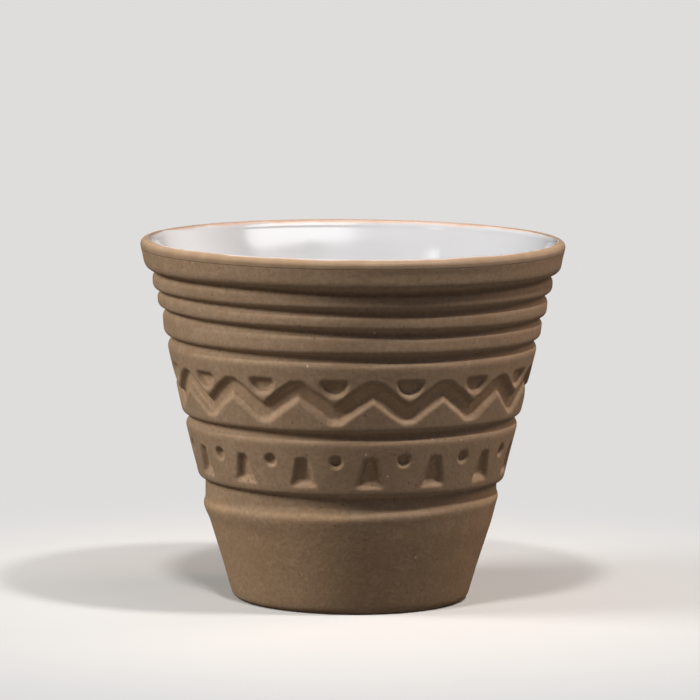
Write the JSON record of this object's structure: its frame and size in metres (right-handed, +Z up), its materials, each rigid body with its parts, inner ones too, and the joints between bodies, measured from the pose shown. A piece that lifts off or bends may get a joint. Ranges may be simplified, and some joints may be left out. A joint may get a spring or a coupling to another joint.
{
  "type": "arabic coffee cup",
  "caption": "Small handleless stoneware coffee cup that widens upward, with stepped rings, a pressed zigzag band, a band of wedges and dots, and a white glazed inside.",
  "frame": {"origin": "middle of the foot, at the height of the table", "axes": "+Z up along the cup's axis; the camera of the picture stood on the -Y side, with +X to its right"},
  "size_m": [0.066, 0.066, 0.0561],
  "materials": {
    "raw_clay": "unglazed stoneware, matte and sandy",
    "white_glaze": "glossy white glaze",
    "lip_glaze": "thin glossy ochre glaze"
  },
  "bodies": {
    "root": {"clay_body": "raw_clay", "white_glaze": "white_glaze", "lip_glaze": "lip_glaze"}
  },
  "joints": []
}
